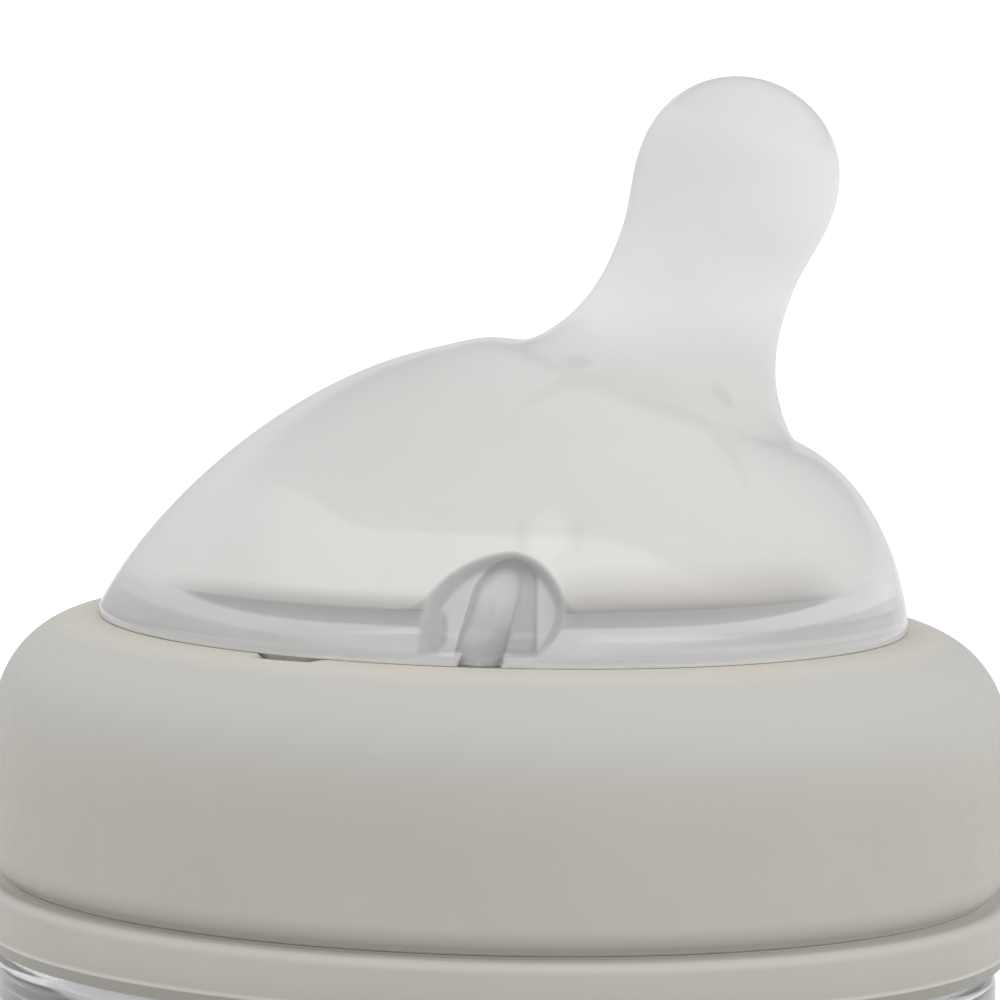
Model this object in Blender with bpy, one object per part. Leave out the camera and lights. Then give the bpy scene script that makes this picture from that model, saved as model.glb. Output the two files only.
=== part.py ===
"""Wide-neck baby bottle with an angled silicone teat.

Four pieces: the clear bottle, the ring snapped on its neck, the screw collar and the one-piece teat.
The origin is the middle of the bottle's base. +Z is up, +X is the side the nipple leans to, and the
air vent in the teat's skirt faces -Y. The collar and the teat have their origins on the bottle's axis
at the height of the collar's lip, and their shapes are given from there.
"""
import math

import bmesh
import bpy
from mathutils import Vector

MM = 0.001
GAP = 0.3 * MM                      # clearance between neighbouring pieces
TURN = 2.0 * math.pi
SEGMENTS = 48                       # sides of a turned piece

# Heights
LIP_HEIGHT = 121.0 * MM             # top of the collar's lip above the base
COLLAR_DEPTH = 18.0 * MM            # from the lip down to the collar's lower edge
RING_TOP = LIP_HEIGHT - COLLAR_DEPTH - GAP
RING_BAND = 3.4 * MM
RING_FOOT = 0.8 * MM
RING_BOTTOM = RING_TOP - RING_BAND - RING_FOOT

# Bottle
BOTTLE_RADIUS = 34.7 * MM
BOTTLE_WALL = 1.7 * MM
BASE_ROUND = 7.0 * MM
SHOULDER_ROUND = 1.6 * MM
RING_SEAT_RADIUS = 32.6 * MM
NECK_RADIUS = 30.6 * MM
NECK_WALL = 1.9 * MM
BEAD_HEIGHT = 0.45 * MM
BEAD_HALF_WIDTH = 0.7 * MM

# Neck ring
RING_RADIUS = 35.75 * MM
RING_FOOT_RADIUS = 35.25 * MM
RING_EDGE_ROUND = 0.8 * MM

# Collar
COLLAR_RADIUS = 35.0 * MM
COLLAR_BORE = 32.2 * MM
OPENING_RADIUS = 27.2 * MM
LIP_THICKNESS = 1.7 * MM
SEAT_DROP = 2.3 * MM                # lip underside that presses on the teat's flange
SHOULDER_DROP = 7.2 * MM
UNDERCUT_RISE = 1.9 * MM
UNDERCUT_DEPTH = 1.0 * MM
NOTCH_WIDTH = 5.4 * MM
NOTCH_ANGLE = math.radians(-121.0)

# Screw thread, right hand, one start
PITCH = 4.0 * MM
THREAD_HEIGHT = 1.2 * MM
THREAD_ROOT = 1.9 * MM              # axial width at the wall
THREAD_CREST = 1.0 * MM
THREAD_SUNK = 0.4 * MM
NECK_TURNS = 1.5
COLLAR_TURNS = 1.0
NECK_THREAD_START = LIP_HEIGHT - 14.6 * MM
THREAD_SIDES = 32                   # sections in a full turn

# Teat, measured from the lip plane
WALL = 1.5 * MM
TEAT_SIDES = 48
FLANGE_RADIUS = 31.0 * MM
FLANGE_TOP = -SEAT_DROP - 0.2 * MM
FLANGE_THICKNESS = 1.4 * MM
FLANGE_BOTTOM = FLANGE_TOP - FLANGE_THICKNESS
GROOVE_RADIUS = OPENING_RADIUS - GAP
SKIRT_RADIUS = 27.9 * MM
SKIRT_BOTTOM = 0.25 * MM
SKIRT_EDGE = 0.6 * MM
NIPPLE_TILT = math.radians(18.7)
ROOT_CENTRE = Vector((10.3, 15.9)) * MM
ROOT_RADIUS = 9.88 * MM
WAIST = (9.5 * MM, 6.28 * MM)       # distance along the nipple, radius
BULB = (15.5 * MM, 7.0 * MM)
NIPPLE_LENGTH = 22.8 * MM
TIP_WALL = 1.8 * MM
FLARE_POWER = 2.6
TIP_POWER = 2.2
# Pulls of the dome's two outlines, low and high, as (x, z)
BACK_PULLS = (Vector((-23.5, 9.2)) * MM, Vector((-10.8, 20.15)) * MM)
LEAN_PULLS = (Vector((27.3, 5.4)) * MM, Vector((24.55, 11.1)) * MM)
DOME_RINGS = 10
FEED_HOLE_RADIUS = 0.5 * MM
RIB_ANGLE = math.radians(38.0)      # from the front and from the back
RIB_RADIUS = 0.9 * MM
RIB_LENGTH = 3.6 * MM

# Air vent: an arched alcove in the skirt with a channel and a slit in its back wall
VENT_X = -0.9 * MM
VENT_WIDTH = 9.8 * MM
VENT_TOP = 7.1 * MM
VENT_FLOOR = 0.65 * MM
VENT_BACK = 26.4 * MM               # distance of the back wall from the axis at the lip plane
VENT_SLOPE = 0.45                   # how far the back wall leans in for each unit of height
CHANNEL_WIDTH = 2.9 * MM
CHANNEL_DEPTH = 0.5 * MM
CHANNEL_TOP = 6.1 * MM
CHANNEL_LEAN = math.radians(15.0)
CHANNEL_X = -1.5 * MM
SLIT_LENGTH = 2.2 * MM
SLIT_WIDTH = 0.25 * MM

NECK_RIM = LIP_HEIGHT + FLANGE_BOTTOM - 0.2 * MM


def clear_scene():
    for item in list(bpy.data.objects):
        bpy.data.objects.remove(item, do_unlink=True)


def material(name, colour, roughness, transmission=0.0):
    made = bpy.data.materials.new(name)
    made.use_nodes = True
    shader = made.node_tree.nodes["Principled BSDF"]
    shader.inputs["Base Color"].default_value = (*colour, 1.0)
    shader.inputs["Roughness"].default_value = roughness
    shader.inputs["Metallic"].default_value = 0.0
    shader.inputs["Transmission Weight"].default_value = transmission
    return made


def object_from(bm, name, height=0.0, made=None):
    """Turn a bmesh into a smooth-shaded object whose origin is on the bottle's axis."""
    bmesh.ops.recalc_face_normals(bm, faces=bm.faces)
    mesh = bpy.data.meshes.new(name)
    bm.to_mesh(mesh)
    bm.free()
    mesh.shade_smooth()
    mesh.set_sharp_from_angle(angle=math.radians(35.0))
    item = bpy.data.objects.new(name, mesh)
    item.location = (0.0, 0.0, height)
    bpy.context.collection.objects.link(item)
    if made:
        mesh.materials.append(made)
    return item


def cutter_from(bm, name, height=0.0):
    item = object_from(bm, name, height)
    item.hide_render = True
    item.display_type = "WIRE"
    return item


def boolean(item, other, operation):
    step = item.modifiers.new(other.name, "BOOLEAN")
    step.operation = operation
    step.object = other
    step.solver = "EXACT"


def arc(centre_r, centre_z, radius_r, radius_z, start, end, steps):
    """Points on an ellipse in the (r, z) half plane, angles in degrees from +r towards +z."""
    points = []
    for step in range(steps + 1):
        angle = math.radians(start + (end - start) * step / steps)
        points.append((centre_r + radius_r * math.cos(angle), centre_z + radius_z * math.sin(angle)))
    return points


def turned(profile, closed):
    """Turn a profile about Z. A closed one makes a ring; an open one starts and ends on the axis."""
    bm = bmesh.new()
    rings = []
    for r, z in profile:
        if r == 0.0:
            rings.append([bm.verts.new((0.0, 0.0, z))])
            continue
        angles = (TURN * side / SEGMENTS for side in range(SEGMENTS))
        rings.append([bm.verts.new((r * math.cos(a), r * math.sin(a), z)) for a in angles])
    pairs = list(zip(rings, rings[1:]))
    if closed:
        pairs.append((rings[-1], rings[0]))
    for low, high in pairs:
        for side in range(SEGMENTS):
            after = (side + 1) % SEGMENTS
            if len(low) == 1:
                bm.faces.new((low[0], high[side], high[after]))
            elif len(high) == 1:
                bm.faces.new((low[side], low[after], high[0]))
            else:
                bm.faces.new((low[side], low[after], high[after], high[side]))
    return bm


def skinned(rings):
    """Skin a stack of equal point rings and close both ends with flat caps."""
    bm = bmesh.new()
    loops = [[bm.verts.new(point) for point in ring] for ring in rings]
    count = len(loops[0])
    for low, high in zip(loops, loops[1:]):
        for side in range(count):
            after = (side + 1) % count
            bm.faces.new((low[side], low[after], high[after], high[side]))
    bm.faces.new(loops[0])
    bm.faces.new(list(reversed(loops[-1])))
    return bm


def thread(name, wall_radius, outward, start_height, turns, height=0.0):
    """A helical ridge whose root is sunk in the wall and whose ends fade out."""
    steps = round(THREAD_SIDES * turns)
    rings = []
    for step in range(steps + 1):
        along = step / steps
        angle = TURN * turns * along
        fade = min(1.0, 8.0 * min(along, 1.0 - along) + 0.12)
        z = start_height + PITCH * turns * along
        sunk = wall_radius - outward * THREAD_SUNK
        crest = wall_radius + outward * THREAD_HEIGHT * fade
        section = (
            (sunk, z - THREAD_ROOT / 2),
            (crest, z - THREAD_CREST / 2),
            (crest, z + THREAD_CREST / 2),
            (sunk, z + THREAD_ROOT / 2),
        )
        rings.append([(r * math.cos(angle), r * math.sin(angle), zz) for r, zz in section])
    return cutter_from(skinned(rings), name, height)


def arch(width, top, bottom, steps):
    """The outline of a round-topped opening, from its lower left corner to its lower right one."""
    radius = width / 2
    points = [(-radius, bottom)]
    points += arc(0.0, top - radius, radius, radius, 180, 0, steps)
    points.append((radius, bottom))
    return points


def arch_prism(name, width, top, bottom, back, slope, front):
    """An arch-topped block that opens towards -Y and whose back wall leans in with height."""
    outline = [(VENT_X + x, z) for x, z in arch(width, top, bottom, 16)]
    rings = [
        [(x, -(back - slope * z), z) for x, z in outline],
        [(x, -front, z) for x, z in outline],
    ]
    return cutter_from(skinned(rings), name, LIP_HEIGHT)


def channel_prism(name, width, bottom, top, back, front):
    """A round-topped groove that leans towards +X, cut into the alcove's back wall."""
    leaned = [
        (CHANNEL_X + x * math.cos(CHANNEL_LEAN) + z * math.sin(CHANNEL_LEAN),
         z * math.cos(CHANNEL_LEAN) - x * math.sin(CHANNEL_LEAN))
        for x, z in arch(width, top, bottom, 12)
    ]
    rings = [
        [(x, -(back - VENT_SLOPE * z), z) for x, z in leaned],
        [(x, -(front - VENT_SLOPE * z), z) for x, z in leaned],
    ]
    return cutter_from(skinned(rings), name, LIP_HEIGHT)


def bezier(start, pulls, end, t):
    low, high = pulls
    u = 1.0 - t
    return start * u ** 3 + low * 3 * u * u * t + high * 3 * u * t * t + end * t ** 3


def nipple_radius(along):
    """Radius of the nipple at a distance from its root: flare, waist, bulb and rounded tip."""
    waist_at, waist = WAIST
    bulb_at, bulb = BULB
    if along < waist_at:
        return waist + (ROOT_RADIUS - waist) * (1.0 - along / waist_at) ** FLARE_POWER
    if along < bulb_at:
        turn = math.pi * (along - waist_at) / (bulb_at - waist_at)
        return waist + (bulb - waist) * (1.0 - math.cos(turn)) / 2
    reach = (along - bulb_at) / (NIPPLE_LENGTH - bulb_at)
    return bulb * math.sqrt(max(0.0, 1.0 - reach ** TIP_POWER))


def nipple_axis():
    return Vector((math.sin(NIPPLE_TILT), math.cos(NIPPLE_TILT)))


def nipple_across():
    return Vector((math.cos(NIPPLE_TILT), -math.sin(NIPPLE_TILT)))


def teat_outlines():
    """The teat's two outlines in the plane y = 0, up to the nipple's bulb, as pairs of points."""
    across = nipple_across() * ROOT_RADIUS
    back_start = Vector((-SKIRT_RADIUS, SKIRT_EDGE))
    lean_start = Vector((SKIRT_RADIUS, SKIRT_EDGE))
    pairs = []
    for step in range(DOME_RINGS + 1):
        t = step / DOME_RINGS
        back = bezier(back_start, BACK_PULLS, ROOT_CENTRE - across, t)
        lean = bezier(lean_start, LEAN_PULLS, ROOT_CENTRE + across, t)
        pairs.append((back, lean))
    for along in (0.7, 1.7, 3.1, 5.0, 7.3, 9.5, 12.5, 15.5):
        pairs.append(nipple_pair(along * MM, nipple_radius(along * MM)))
    return pairs


def nipple_pair(along, radius):
    centre = ROOT_CENTRE + nipple_axis() * along
    return centre - nipple_across() * radius, centre + nipple_across() * radius


def tip_pairs(length, radius, steps):
    """The rounded end beyond the bulb, closed by a small flat cap."""
    bulb_at = BULB[0]
    pairs = []
    for step in range(1, steps + 1):
        reach = math.sin(0.485 * math.pi * step / steps)
        size = radius * math.sqrt(max(0.0, 1.0 - reach ** TIP_POWER))
        pairs.append(nipple_pair(bulb_at + (length - bulb_at) * reach, size))
    return pairs


def offset_outline(points, distance, side):
    """Move an outline inwards along its normals; side is +1 for the back outline, -1 for the other."""
    moved = []
    for index, point in enumerate(points):
        before = points[max(index - 1, 0)]
        after = points[min(index + 1, len(points) - 1)]
        along = (after - before).normalized()
        moved.append(point + Vector((along.y, -along.x)) * distance * side)
    return moved


def ring_between(back, lean):
    """A circle whose diameter joins the two outlines, square to the plane y = 0."""
    centre = (back + lean) / 2
    half = (lean - back) / 2
    radius = half.length
    points = []
    for side in range(TEAT_SIDES):
        angle = TURN * side / TEAT_SIDES
        across = half * math.cos(angle)
        points.append((centre.x + across.x, radius * math.sin(angle), centre.y + across.y))
    return points


def flat_ring(radius, z):
    return ring_between(Vector((-radius, z)), Vector((radius, z)))


def make_bottle():
    glass = material("clear_bottle", (0.86, 0.88, 0.88), 0.06, 0.9)
    seat = RING_SEAT_RADIUS
    bead = RING_BOTTOM + (RING_TOP - RING_BOTTOM) / 2
    floor = BOTTLE_WALL
    inner = BOTTLE_RADIUS - BOTTLE_WALL
    neck_inner = NECK_RADIUS - NECK_WALL
    shoulder = RING_BOTTOM - GAP
    rim_round = NECK_WALL / 2
    profile = [(0.0, 0.0)]
    profile += arc(BOTTLE_RADIUS - BASE_ROUND, BASE_ROUND, BASE_ROUND, BASE_ROUND, -90, 0, 6)
    corner = SHOULDER_ROUND
    profile += arc(BOTTLE_RADIUS - corner, shoulder - corner, corner, corner, 0, 90, 3)
    profile += [(seat, shoulder)]
    profile += arc(seat, bead, BEAD_HEIGHT, BEAD_HALF_WIDTH, -90, 90, 4)
    profile += [(seat, RING_TOP - 1.2 * MM), (NECK_RADIUS, RING_TOP - 0.1 * MM)]
    profile += arc(NECK_RADIUS - rim_round, NECK_RIM - rim_round, rim_round, rim_round, 0, 180, 4)
    profile += arc(neck_inner + 3.0 * MM, RING_BOTTOM + 0.6 * MM, 3.0 * MM, 3.0 * MM, 180, 218, 2)
    profile += arc(inner - 5.0 * MM, RING_BOTTOM - 8.6 * MM, 5.0 * MM, 5.0 * MM, 38, 0, 2)
    profile += arc(inner - BASE_ROUND, floor + BASE_ROUND, BASE_ROUND, BASE_ROUND, 0, -90, 6)
    profile += [(0.0, floor)]
    bottle = object_from(turned(profile, closed=False), "bottle_body", made=glass)
    ridge = thread("neck_thread", NECK_RADIUS, 1.0, NECK_THREAD_START, NECK_TURNS)
    boolean(bottle, ridge, "UNION")


def make_neck_ring():
    resin = material("ring_resin", (0.42, 0.40, 0.36), 0.45)
    bore = RING_SEAT_RADIUS + GAP
    bead = RING_BOTTOM + (RING_TOP - RING_BOTTOM) / 2
    band_bottom = RING_BOTTOM + RING_FOOT
    corner = RING_EDGE_ROUND
    profile = arc(RING_RADIUS - corner, RING_TOP - corner, corner, corner, 90, 0, 3)
    profile += arc(RING_RADIUS - 0.3 * MM, band_bottom + 0.3 * MM, 0.3 * MM, 0.3 * MM, 0, -90, 1)
    profile += [(RING_FOOT_RADIUS, band_bottom), (RING_FOOT_RADIUS, RING_BOTTOM), (bore, RING_BOTTOM)]
    profile += arc(bore, bead, BEAD_HEIGHT, BEAD_HALF_WIDTH + GAP, -90, 90, 4)
    profile += [(bore, RING_TOP)]
    object_from(turned(profile, closed=True), "neck_ring", made=resin)


def make_collar():
    resin = material("collar_resin", (0.52, 0.50, 0.47), 0.5)
    nose = LIP_THICKNESS / 2
    nose_r = OPENING_RADIUS + nose
    bottom = -COLLAR_DEPTH
    foot = COLLAR_RADIUS - UNDERCUT_DEPTH
    profile = arc(nose_r, -nose, nose, nose, 270, 90, 6)
    profile += arc(nose_r, -SHOULDER_DROP, COLLAR_RADIUS - nose_r, SHOULDER_DROP, 84, 0, 9)
    profile += arc(foot, bottom + UNDERCUT_RISE, UNDERCUT_DEPTH, UNDERCUT_RISE, 0, -84, 5)
    profile += [(foot, bottom), (COLLAR_BORE + 0.4 * MM, bottom), (COLLAR_BORE, bottom + 0.4 * MM)]
    profile += arc(COLLAR_BORE - 1.0 * MM, -SEAT_DROP - 1.1 * MM, 1.0 * MM, 1.1 * MM, 0, 90, 2)
    profile += [(nose_r + 1.2 * MM, -SEAT_DROP), (nose_r + 0.6 * MM, -LIP_THICKNESS)]
    collar = object_from(turned(profile, closed=True), "collar", LIP_HEIGHT, resin)
    start = NECK_THREAD_START + PITCH * 0.5 - LIP_HEIGHT
    ridge = thread("collar_thread", COLLAR_BORE, -1.0, start, COLLAR_TURNS, LIP_HEIGHT)
    boolean(collar, ridge, "UNION")
    boolean(collar, lip_notch(), "DIFFERENCE")


def lip_notch():
    """A short shallow notch in the top inner edge of the collar's lip."""
    bm = bmesh.new()
    bmesh.ops.create_cube(bm, size=1.0)
    bmesh.ops.scale(bm, vec=(1.6 * MM, NOTCH_WIDTH, 1.2 * MM), verts=bm.verts)
    notch = cutter_from(bm, "lip_notch", LIP_HEIGHT)
    reach = OPENING_RADIUS
    notch.location.x = reach * math.cos(NOTCH_ANGLE)
    notch.location.y = reach * math.sin(NOTCH_ANGLE)
    notch.rotation_euler.z = NOTCH_ANGLE
    return notch


def make_cavity(pairs):
    """The hollow of the teat, with the alcove's back and four small ribs left standing in it."""
    backs = offset_outline([pair[0] for pair in pairs], WALL, 1.0)
    leans = offset_outline([pair[1] for pair in pairs], WALL, -1.0)
    bore = GROOVE_RADIUS - WALL
    rings = [flat_ring(bore, FLANGE_BOTTOM - 1.0 * MM), flat_ring(bore, -0.6 * MM)]
    rings += [ring_between(back, lean) for back, lean in list(zip(backs, leans))[1:]]
    tip = tip_pairs(NIPPLE_LENGTH - TIP_WALL, BULB[1] - WALL, 5)
    rings += [ring_between(back, lean) for back, lean in tip]
    cavity = cutter_from(skinned(rings), "teat_hollow", LIP_HEIGHT)
    hood = arch_prism("vent_hood", VENT_WIDTH + 2 * WALL, VENT_TOP + WALL, FLANGE_BOTTOM - 2.0 * MM,
                      VENT_BACK - CHANNEL_DEPTH - WALL, VENT_SLOPE, SKIRT_RADIUS + 4.0 * MM)
    boolean(cavity, hood, "DIFFERENCE")
    boolean(cavity, ribs(), "DIFFERENCE")
    return cavity


def ribs():
    """Four short ribs inside the nipple's root, which stop its wall closing on itself."""
    bm = bmesh.new()
    for middle in (-90.0, 90.0):
        for side in (-1.0, 1.0):
            angle = math.radians(middle) + side * RIB_ANGLE
            made = bmesh.ops.create_icosphere(bm, subdivisions=2, radius=1.0)["verts"]
            bmesh.ops.scale(bm, vec=(RIB_RADIUS, RIB_RADIUS, RIB_LENGTH / 2), verts=made)
            reach = ROOT_RADIUS - 1.7 * WALL
            shift = Vector((reach * math.cos(angle), reach * math.sin(angle), 0.4 * MM))
            bmesh.ops.translate(bm, vec=shift, verts=made)
    made = cutter_from(bm, "root_ribs", LIP_HEIGHT)
    made.location.x = ROOT_CENTRE.x
    made.location.z = LIP_HEIGHT + ROOT_CENTRE.y
    made.rotation_euler.y = NIPPLE_TILT
    return made


def feed_hole():
    bm = bmesh.new()
    size = FEED_HOLE_RADIUS
    bmesh.ops.create_cone(bm, cap_ends=True, segments=16, radius1=size, radius2=size, depth=8.0 * MM)
    hole = cutter_from(bm, "feed_hole", LIP_HEIGHT)
    tip = ROOT_CENTRE + nipple_axis() * (NIPPLE_LENGTH - TIP_WALL / 2)
    hole.location = (tip.x, 0.0, LIP_HEIGHT + tip.y)
    hole.rotation_euler.y = NIPPLE_TILT
    return hole


def vent_slit():
    """The slit valve near the top of the channel, right through the alcove's back wall."""
    bm = bmesh.new()
    bmesh.ops.create_cube(bm, size=1.0)
    bmesh.ops.scale(bm, vec=(SLIT_WIDTH, 8.0 * MM, SLIT_LENGTH), verts=bm.verts)
    slit = cutter_from(bm, "vent_slit", LIP_HEIGHT)
    height = CHANNEL_TOP - 1.2 * MM - SLIT_LENGTH / 2
    slit.location.x = CHANNEL_X + height * math.tan(CHANNEL_LEAN)
    slit.location.y = -(VENT_BACK - WALL)
    slit.location.z = LIP_HEIGHT + height
    slit.rotation_euler.y = CHANNEL_LEAN
    return slit


def make_teat():
    silicone = material("silicone", (0.72, 0.72, 0.71), 0.35, 0.35)
    pairs = teat_outlines()
    edge = 0.3 * MM
    rings = [
        flat_ring(FLANGE_RADIUS - edge, FLANGE_BOTTOM),
        flat_ring(FLANGE_RADIUS, FLANGE_BOTTOM + edge),
        flat_ring(FLANGE_RADIUS, FLANGE_TOP - edge),
        flat_ring(FLANGE_RADIUS - edge, FLANGE_TOP),
        flat_ring(GROOVE_RADIUS, FLANGE_TOP),
        flat_ring(GROOVE_RADIUS, 0.0),
        flat_ring(GROOVE_RADIUS + edge, SKIRT_BOTTOM),
        flat_ring(SKIRT_RADIUS - edge, SKIRT_BOTTOM),
    ]
    outside = pairs + tip_pairs(NIPPLE_LENGTH, BULB[1], 6)
    rings += [ring_between(back, lean) for back, lean in outside]
    teat = object_from(skinned(rings), "teat", LIP_HEIGHT, silicone)
    boolean(teat, make_cavity(pairs), "DIFFERENCE")
    front = SKIRT_RADIUS + 4.0 * MM
    alcove = arch_prism("vent_alcove", VENT_WIDTH, VENT_TOP, VENT_FLOOR, VENT_BACK, VENT_SLOPE, front)
    boolean(teat, alcove, "DIFFERENCE")
    deep = VENT_BACK - CHANNEL_DEPTH
    channel = channel_prism("vent_channel", CHANNEL_WIDTH, -1.5 * MM, CHANNEL_TOP, deep, front)
    boolean(teat, channel, "DIFFERENCE")
    boolean(teat, vent_slit(), "DIFFERENCE")
    boolean(teat, feed_hole(), "DIFFERENCE")


clear_scene()
make_bottle()
make_neck_ring()
make_collar()
make_teat()
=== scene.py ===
"""Baby bottle: the looks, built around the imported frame.

Four skins stand for the four solids: the clear bottle with its thread and printed scale, the ring on
its neck, the screw collar with its thread, and the silicone teat. Every length is in metres, in the
frame's own axes: the bottle's axis is Z, the nipple leans to +X and the air vent faces -Y. Heights on the
collar and the teat are counted from the top of the collar's lip.
"""
import math

import bmesh
import bpy
import numpy as np
from mathutils import Matrix, Vector


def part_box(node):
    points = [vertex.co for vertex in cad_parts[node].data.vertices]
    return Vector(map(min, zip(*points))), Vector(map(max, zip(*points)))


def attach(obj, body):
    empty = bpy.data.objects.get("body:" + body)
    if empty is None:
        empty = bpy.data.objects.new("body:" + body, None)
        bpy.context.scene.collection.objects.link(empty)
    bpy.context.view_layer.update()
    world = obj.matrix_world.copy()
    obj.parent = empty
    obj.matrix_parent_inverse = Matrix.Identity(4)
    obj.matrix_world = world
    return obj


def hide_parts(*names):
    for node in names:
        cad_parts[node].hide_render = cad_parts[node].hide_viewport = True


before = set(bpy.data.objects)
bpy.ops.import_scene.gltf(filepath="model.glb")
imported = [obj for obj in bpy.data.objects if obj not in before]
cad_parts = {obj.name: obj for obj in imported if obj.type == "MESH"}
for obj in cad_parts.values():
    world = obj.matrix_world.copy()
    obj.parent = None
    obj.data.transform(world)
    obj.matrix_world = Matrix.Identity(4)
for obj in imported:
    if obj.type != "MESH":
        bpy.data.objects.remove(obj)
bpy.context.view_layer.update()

MM = 0.001
MILLILITRE = 1e-6
TURN = 2.0 * math.pi

# Places read from the frame
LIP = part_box("collar")[1].z
COLLAR_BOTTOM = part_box("collar")[0].z - LIP
COLLAR_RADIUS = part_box("collar")[1].x
RING_LOW, RING_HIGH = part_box("neck_ring")
RING_RADIUS = RING_HIGH.x
RING_TOP = RING_HIGH.z + 0.12 * MM  # a little over the CAD's ring, closer to the collar's foot
BOTTLE_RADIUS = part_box("bottle_body")[1].x
NECK_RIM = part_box("bottle_body")[1].z
FLANGE_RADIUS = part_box("teat")[1].x
FLANGE_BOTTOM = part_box("teat")[0].z - LIP

# Camera: half a metre in front of the bottle, a little above the lip, slightly rolled
CAMERA_DISTANCE = 0.5
CAMERA_RISE = 0.058
CAMERA_PITCH = math.radians(5.68)
CAMERA_ROLL = math.radians(1.35)
CAMERA_SIDE = -0.43 * MM
LENS = 262.15
SENSOR = 36.0

# Sky: direction, cosine span, and the brightness at both ends of the span, multiplied together
SKY_LOBES = (
    ((0.24, 0.49, 0.84), 0.60, 0.69, 1.70, 0.82),
    ((0.24, 0.49, 0.84), 0.15, 0.60, 0.70, 1.0),
    ((0.0, -1.0, -0.15), 0.50, 0.98, 1.0, 0.62),
    ((0.0, 0.0, 1.0), -0.1, 0.7, 0.74, 1.0),
    ((1.0, 0.0, 0.0), -1.0, 1.0, 0.86, 1.18),
)
MIRRORED_SKY = 0.54                 # how bright the sky is in reflections, which keeps the outlines calm
BACKDROP_LIFT = 0.4                 # light added to the paper floor where the camera looks straight at it

# Teat
WALL = 1.5 * MM
FLANGE_TOP = FLANGE_BOTTOM + 1.4 * MM
OPENING_RADIUS = 27.2 * MM
GROOVE_RADIUS = OPENING_RADIUS - 0.3 * MM
SKIRT_RADIUS = 27.9 * MM
LIP_NOSE = 0.85 * MM                # radius of the collar's rounded lip, which the skirt sits on
SKIRT_EDGE = 0.6 * MM
TILT = math.radians(18.7)
ROOT = np.array((10.3, 15.9)) * MM
ROOT_RADIUS = 9.88 * MM
WAIST_AT, WAIST = 9.5 * MM, 6.28 * MM
BULB_AT, BULB = 15.5 * MM, 7.0 * MM
NIPPLE_LENGTH = 22.79 * MM
TIP_WALL = 1.8 * MM
BORE_TOP = 1.4 * MM                 # the inside is straight up to here
INNER_DOME_FROM = 2.2 * MM          # and follows the dome from here
FLARE_POWER = 2.6
TIP_POWER = 2.2
BACK_PULLS = np.array(((-23.5, 9.2), (-10.8, 20.15))) * MM
LEAN_PULLS = np.array(((27.3, 5.4), (24.55, 11.1))) * MM
ALONG = np.array((math.sin(TILT), math.cos(TILT)))
ACROSS = np.array((math.cos(TILT), -math.sin(TILT)))
HUMP_AT, HUMP_WIDTH, HUMP_RISE = -1.6 * MM, 2.3 * MM, 0.33 * MM
ARC_OFF, ARC_HALF, ARC_FALL = 0.9 * MM, 8.1 * MM, 3.1 * MM
ARC_SOFT, ARC_END = (0.1 * MM, 0.8 * MM), (0.85 * ARC_HALF, 1.1 * ARC_HALF)

# Vent: a bell-shaped recess in the skirt, skewed to +X, with a leaning tongue that stands in a groove
BELL_X = 0.35 * MM
BELL_LEFT, BELL_RIGHT = 6.0 * MM, 4.0 * MM
BELL_FOOT, BELL_TOP = 2.4 * MM, 7.3 * MM
BELL_SLOPE = 1.2 * MM               # width of the slope from the rim down to the recess's floor
LEDGE = 0.7 * MM
RECESS = 1.1 * MM
HOOD = 1.5 * MM                     # how far the inside bulges behind the recess
GROOVE_CUT = 0.4 * MM
GROOVE_X, GROOVE_HALF, GROOVE_TOP = 0.55 * MM, 1.68 * MM, 6.83 * MM
TONGUE_X, TONGUE_LEAN = -1.5 * MM, 0.27
TONGUE_HALF, TONGUE_SHOULDER, TONGUE_TOP = 1.42 * MM, 4.2 * MM, 6.05 * MM
TONGUE_CROWN = 0.9 * MM

# Seam where the hazy dome ends and the clear skirt begins, and the painted shade and warm painted shadow
# round it.
# Angles are degrees round the teat from the middle of the vent, to either side.
SEAM_TOP, SEAM_BOTTOM = 3.5 * MM, 2.48 * MM
SEAM_TILT = 0.012
HAZE_FROM, HAZE_TO = SEAM_TOP - 0.2 * MM, SEAM_TOP + 1.4 * MM
HAZE_IN_VENT = 0.2
CRESCENT_FULL, CRESCENT_TAPER = 26.0, 30.0
CRESCENT_ENDS = (50.0, 58.0)
WARM_ENDS = (44.0, 62.0)
STREAK_FROM, STREAK_SPREAD = 20.0, 50.0
LINE_HEIGHT = 0.78 * MM
# How dark the painted shade is at each mark; the strips over the vent are a painted reflection
CRESCENT_SHADE, STREAK_SHADE, LINE_SHADE, FILLET_SHADE = 0.57, 0.24, 0.12, 0.30
RIM_SHADE, OVAL_SHADE, TRENCH_SHADE, TONGUE_SHADE, FOOT_SHADE = 0.33, 0.40, 0.25, 0.75, 0.5
STRIP_REFLECTION, RIB_SHADE = 0.07, 0.15

# Collar
COLLAR_BORE = 32.2 * MM
COLLAR_SHOULDER = 7.2 * MM          # depth of the round shoulder under the lip
COLLAR_SEAT = -2.3 * MM             # the underside that presses on the teat's flange
UNDERCUT_RADIUS, UNDERCUT_DEPTH = 1.9 * MM, 1.0 * MM
NOTCH_FROM, NOTCH_TO = math.radians(-125.2), math.radians(-114.0)
NOTCH_DEPTH = 0.75 * MM
NOTCH_REACH = (28.5 * MM, 29.3 * MM)    # the notch fades out over these radii

# Ring
RING_BORE = 32.9 * MM
RING_FOOT = 0.8 * MM                # height of the ring's narrower foot
RING_FOOT_STEP = 0.5 * MM
RING_CORNER, RING_BEAD = 0.9 * MM, 0.3 * MM
RING_LIP = 0.6 * MM                 # the ring's inner lip stands this far off the neck
RISER_RISE, RISER_INSET = 0.14 * MM, UNDERCUT_DEPTH - 0.1 * MM
RING_THICKNESS = 0.25 * MM

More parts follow.
